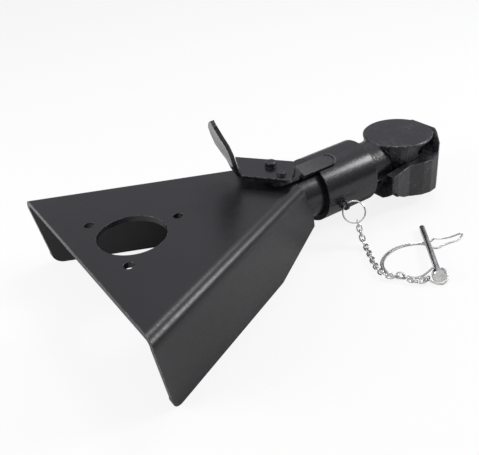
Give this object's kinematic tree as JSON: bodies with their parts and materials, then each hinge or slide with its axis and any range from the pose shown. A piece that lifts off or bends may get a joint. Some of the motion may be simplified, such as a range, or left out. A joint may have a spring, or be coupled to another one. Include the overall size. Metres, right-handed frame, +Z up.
{
  "type": "trailer coupling head",
  "caption": "A-frame trailer coupling head with a round jaw that a sliding collar locks round a tow ball, a latch lever on top and a tethered lock pin.",
  "frame": {"origin": "centre of the tow ball when it is locked in the socket", "axes": "+X forward, from the open rear of the frame to the ball; +Z up, out of the jack hole; +Y to the left of the trailer"},
  "size_m": [0.4755, 0.3264, 0.1694],
  "materials": {
    "powder_coat": "satin black powder coat",
    "forging_coat": "black powder coat over a rough forged skin",
    "zinc": "bright zinc plate",
    "steel": "plain turned steel"
  },
  "bodies": {
    "frame": {"a_frame": "powder_coat", "neck_tube": "powder_coat", "upper_jaw": "forging_coat", "jaw_pin": "steel", "pivot_bolt": "powder_coat", "pivot_washer": "powder_coat", "pivot_spacer": "powder_coat", "lower_washer": "powder_coat", "pivot_spring": "steel", "pivot_nut": "powder_coat"},
    "collar_body": {"collar": "powder_coat", "chain_lug": "powder_coat", "latch_bar": "powder_coat", "bar_weld": "powder_coat"},
    "lever": {"latch_lever": "powder_coat", "crank_pin": "powder_coat"},
    "jaw": {"lower_jaw": "forging_coat"},
    "tether": {"key_ring": "zinc", "lock_pin": "zinc", "clip_wire": "zinc", "chain_link_1": "zinc", "chain_link_2": "zinc", "chain_link_3": "zinc", "chain_link_4": "zinc", "chain_link_5": "zinc", "chain_link_6": "zinc", "chain_link_7": "zinc", "chain_link_8": "zinc", "chain_link_9": "zinc", "chain_link_10": "zinc", "chain_link_11": "zinc", "chain_link_12": "zinc", "chain_link_13": "zinc", "chain_link_14": "zinc", "chain_link_15": "zinc", "chain_link_16": "zinc", "chain_link_17": "zinc", "chain_link_18": "zinc", "chain_link_19": "zinc", "chain_link_20": "zinc", "chain_link_21": "zinc", "chain_link_22": "zinc", "chain_link_23": "zinc"}
  },
  "joints": [
    {"name": "collar_slide", "type": "slide", "parent": "frame", "child": "collar_body", "axis": [-1, 0, 0], "range_m": [0, 0.013]},
    {"name": "lever_turn", "type": "hinge", "parent": "frame", "child": "lever", "pos_m": [-0.188, 0.004, 0.059], "axis": [0, 0, -1], "range_deg": [0, 35.1]},
    {"name": "jaw_open", "type": "hinge", "parent": "frame", "child": "jaw", "pos_m": [-0.092, 0, -0.003], "axis": [0, 1, 0], "range_deg": [0, 35.1]},
    {"name": "tether_swing", "type": "hinge", "parent": "collar_body", "child": "tether", "pos_m": [-0.121, -0.0418, 0.005], "axis": [0, 0, 1], "range_deg": [-6, 6]}
  ],
  "couplings": [
    {"joint": "lever_turn", "follows": "collar_slide", "rad_per_m": 47},
    {"joint": "jaw_open", "follows": "collar_slide", "rad_per_m": 47}
  ]
}
